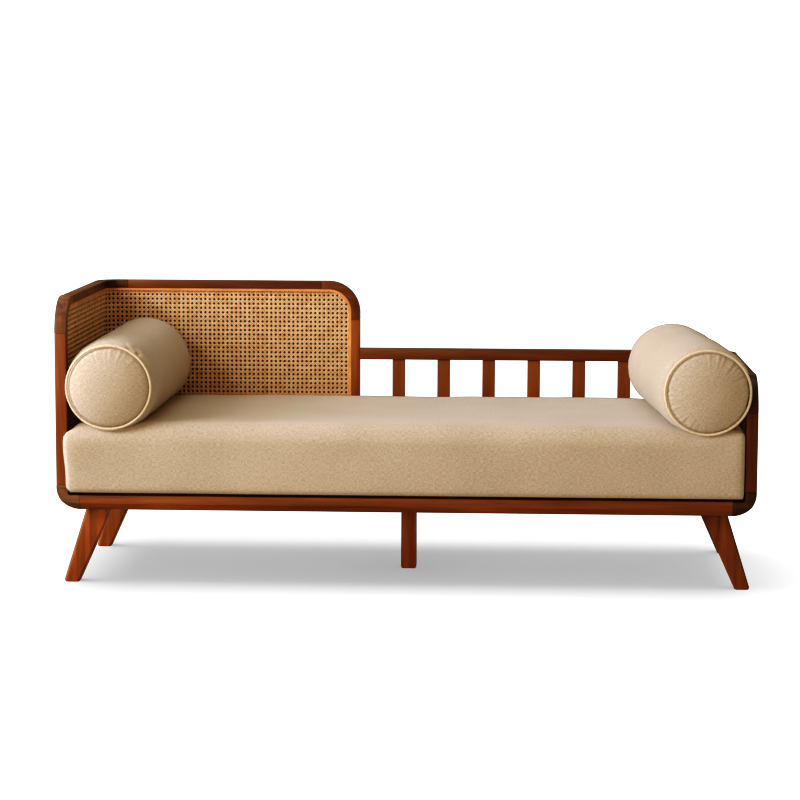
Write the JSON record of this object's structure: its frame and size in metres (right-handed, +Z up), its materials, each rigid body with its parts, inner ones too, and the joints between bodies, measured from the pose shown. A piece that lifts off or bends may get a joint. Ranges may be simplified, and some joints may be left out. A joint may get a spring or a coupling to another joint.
{
  "type": "daybed",
  "caption": "Daybed with a solid wood frame, a high rounded cane end and back, a low slatted end and back, splayed legs, a loose mattress and round bolsters.",
  "frame": {"origin": "on the floor, at the middle of the object's footprint: halfway across its length, and halfway between the front ends of the bolsters and the back face of the frame", "axes": "+Z up, +Y towards the back, -Y is the front that a person sits down at, +X towards the low slatted end, which is on the right seen from the front"},
  "size_m": [1.83, 0.7186, 0.7585],
  "materials": {
    "wood": "satin reddish-brown hardwood with straight grain",
    "corner_wood": "satin darker brown hardwood, end grain and short grain",
    "plywood": "raw sanded plywood",
    "stained_board": "matt near-black stained panel board",
    "cane": "natural golden cane with a soft gloss",
    "linen": "matt beige linen-look plain weave"
  },
  "bodies": {
    "frame": {"arm_slat_1": "wood", "arm_slat_2": "wood", "arm_slat_3": "wood", "arm_slat_4": "wood", "arm_slat_5": "wood", "back_ledger": "wood", "back_left_base_block": "corner_wood", "back_left_leg": "wood", "back_panel_board": "stained_board", "back_rail": "wood", "back_right_base_block": "corner_wood", "back_right_leg": "wood", "back_slat_1": "wood", "back_slat_2": "wood", "back_slat_3": "wood", "back_slat_4": "wood", "back_slat_5": "wood", "back_slat_6": "wood", "back_slat_7": "wood", "back_slat_8": "wood", "back_stile": "wood", "centre_bearer": "wood", "centre_leg": "wood", "corner_panel_board": "stained_board", "front_ledger": "wood", "front_left_base_block": "corner_wood", "front_left_leg": "wood", "front_left_post": "wood", "front_rail": "wood", "front_right_base_block": "corner_wood", "front_right_leg": "wood", "front_right_post": "wood", "high_back_corner_block": "corner_wood", "high_back_end_block": "corner_wood", "high_back_rail": "wood", "inner_cane": "cane", "inner_cane_bead": "cane", "left_arm_front_block": "corner_wood", "left_arm_rail": "wood", "left_bearer": "wood", "left_deck_panel": "plywood", "left_end_rail": "wood", "low_back_corner_block": "corner_wood", "low_back_rail": "wood", "outer_cane": "cane", "outer_cane_bead": "cane", "right_arm_front_block": "corner_wood", "right_arm_rail": "wood", "right_bearer": "wood", "right_deck_panel": "plywood", "right_end_rail": "wood", "side_panel_board": "stained_board"},
    "mattress": {"mattress": "linen"},
    "left_bolster": {"left_bolster": "linen"},
    "right_bolster": {"right_bolster": "linen"}
  },
  "joints": [
    {"name": "mattress_lift", "type": "slide", "parent": "frame", "child": "mattress", "axis": [0, 0, 1], "range_m": [0, 0.52]},
    {"name": "left_bolster_lift", "type": "slide", "parent": "mattress", "child": "left_bolster", "axis": [0, 0, 1], "range_m": [0, 0.34]},
    {"name": "right_bolster_lift", "type": "slide", "parent": "mattress", "child": "right_bolster", "axis": [0, 0, 1], "range_m": [0, 0.15]}
  ]
}
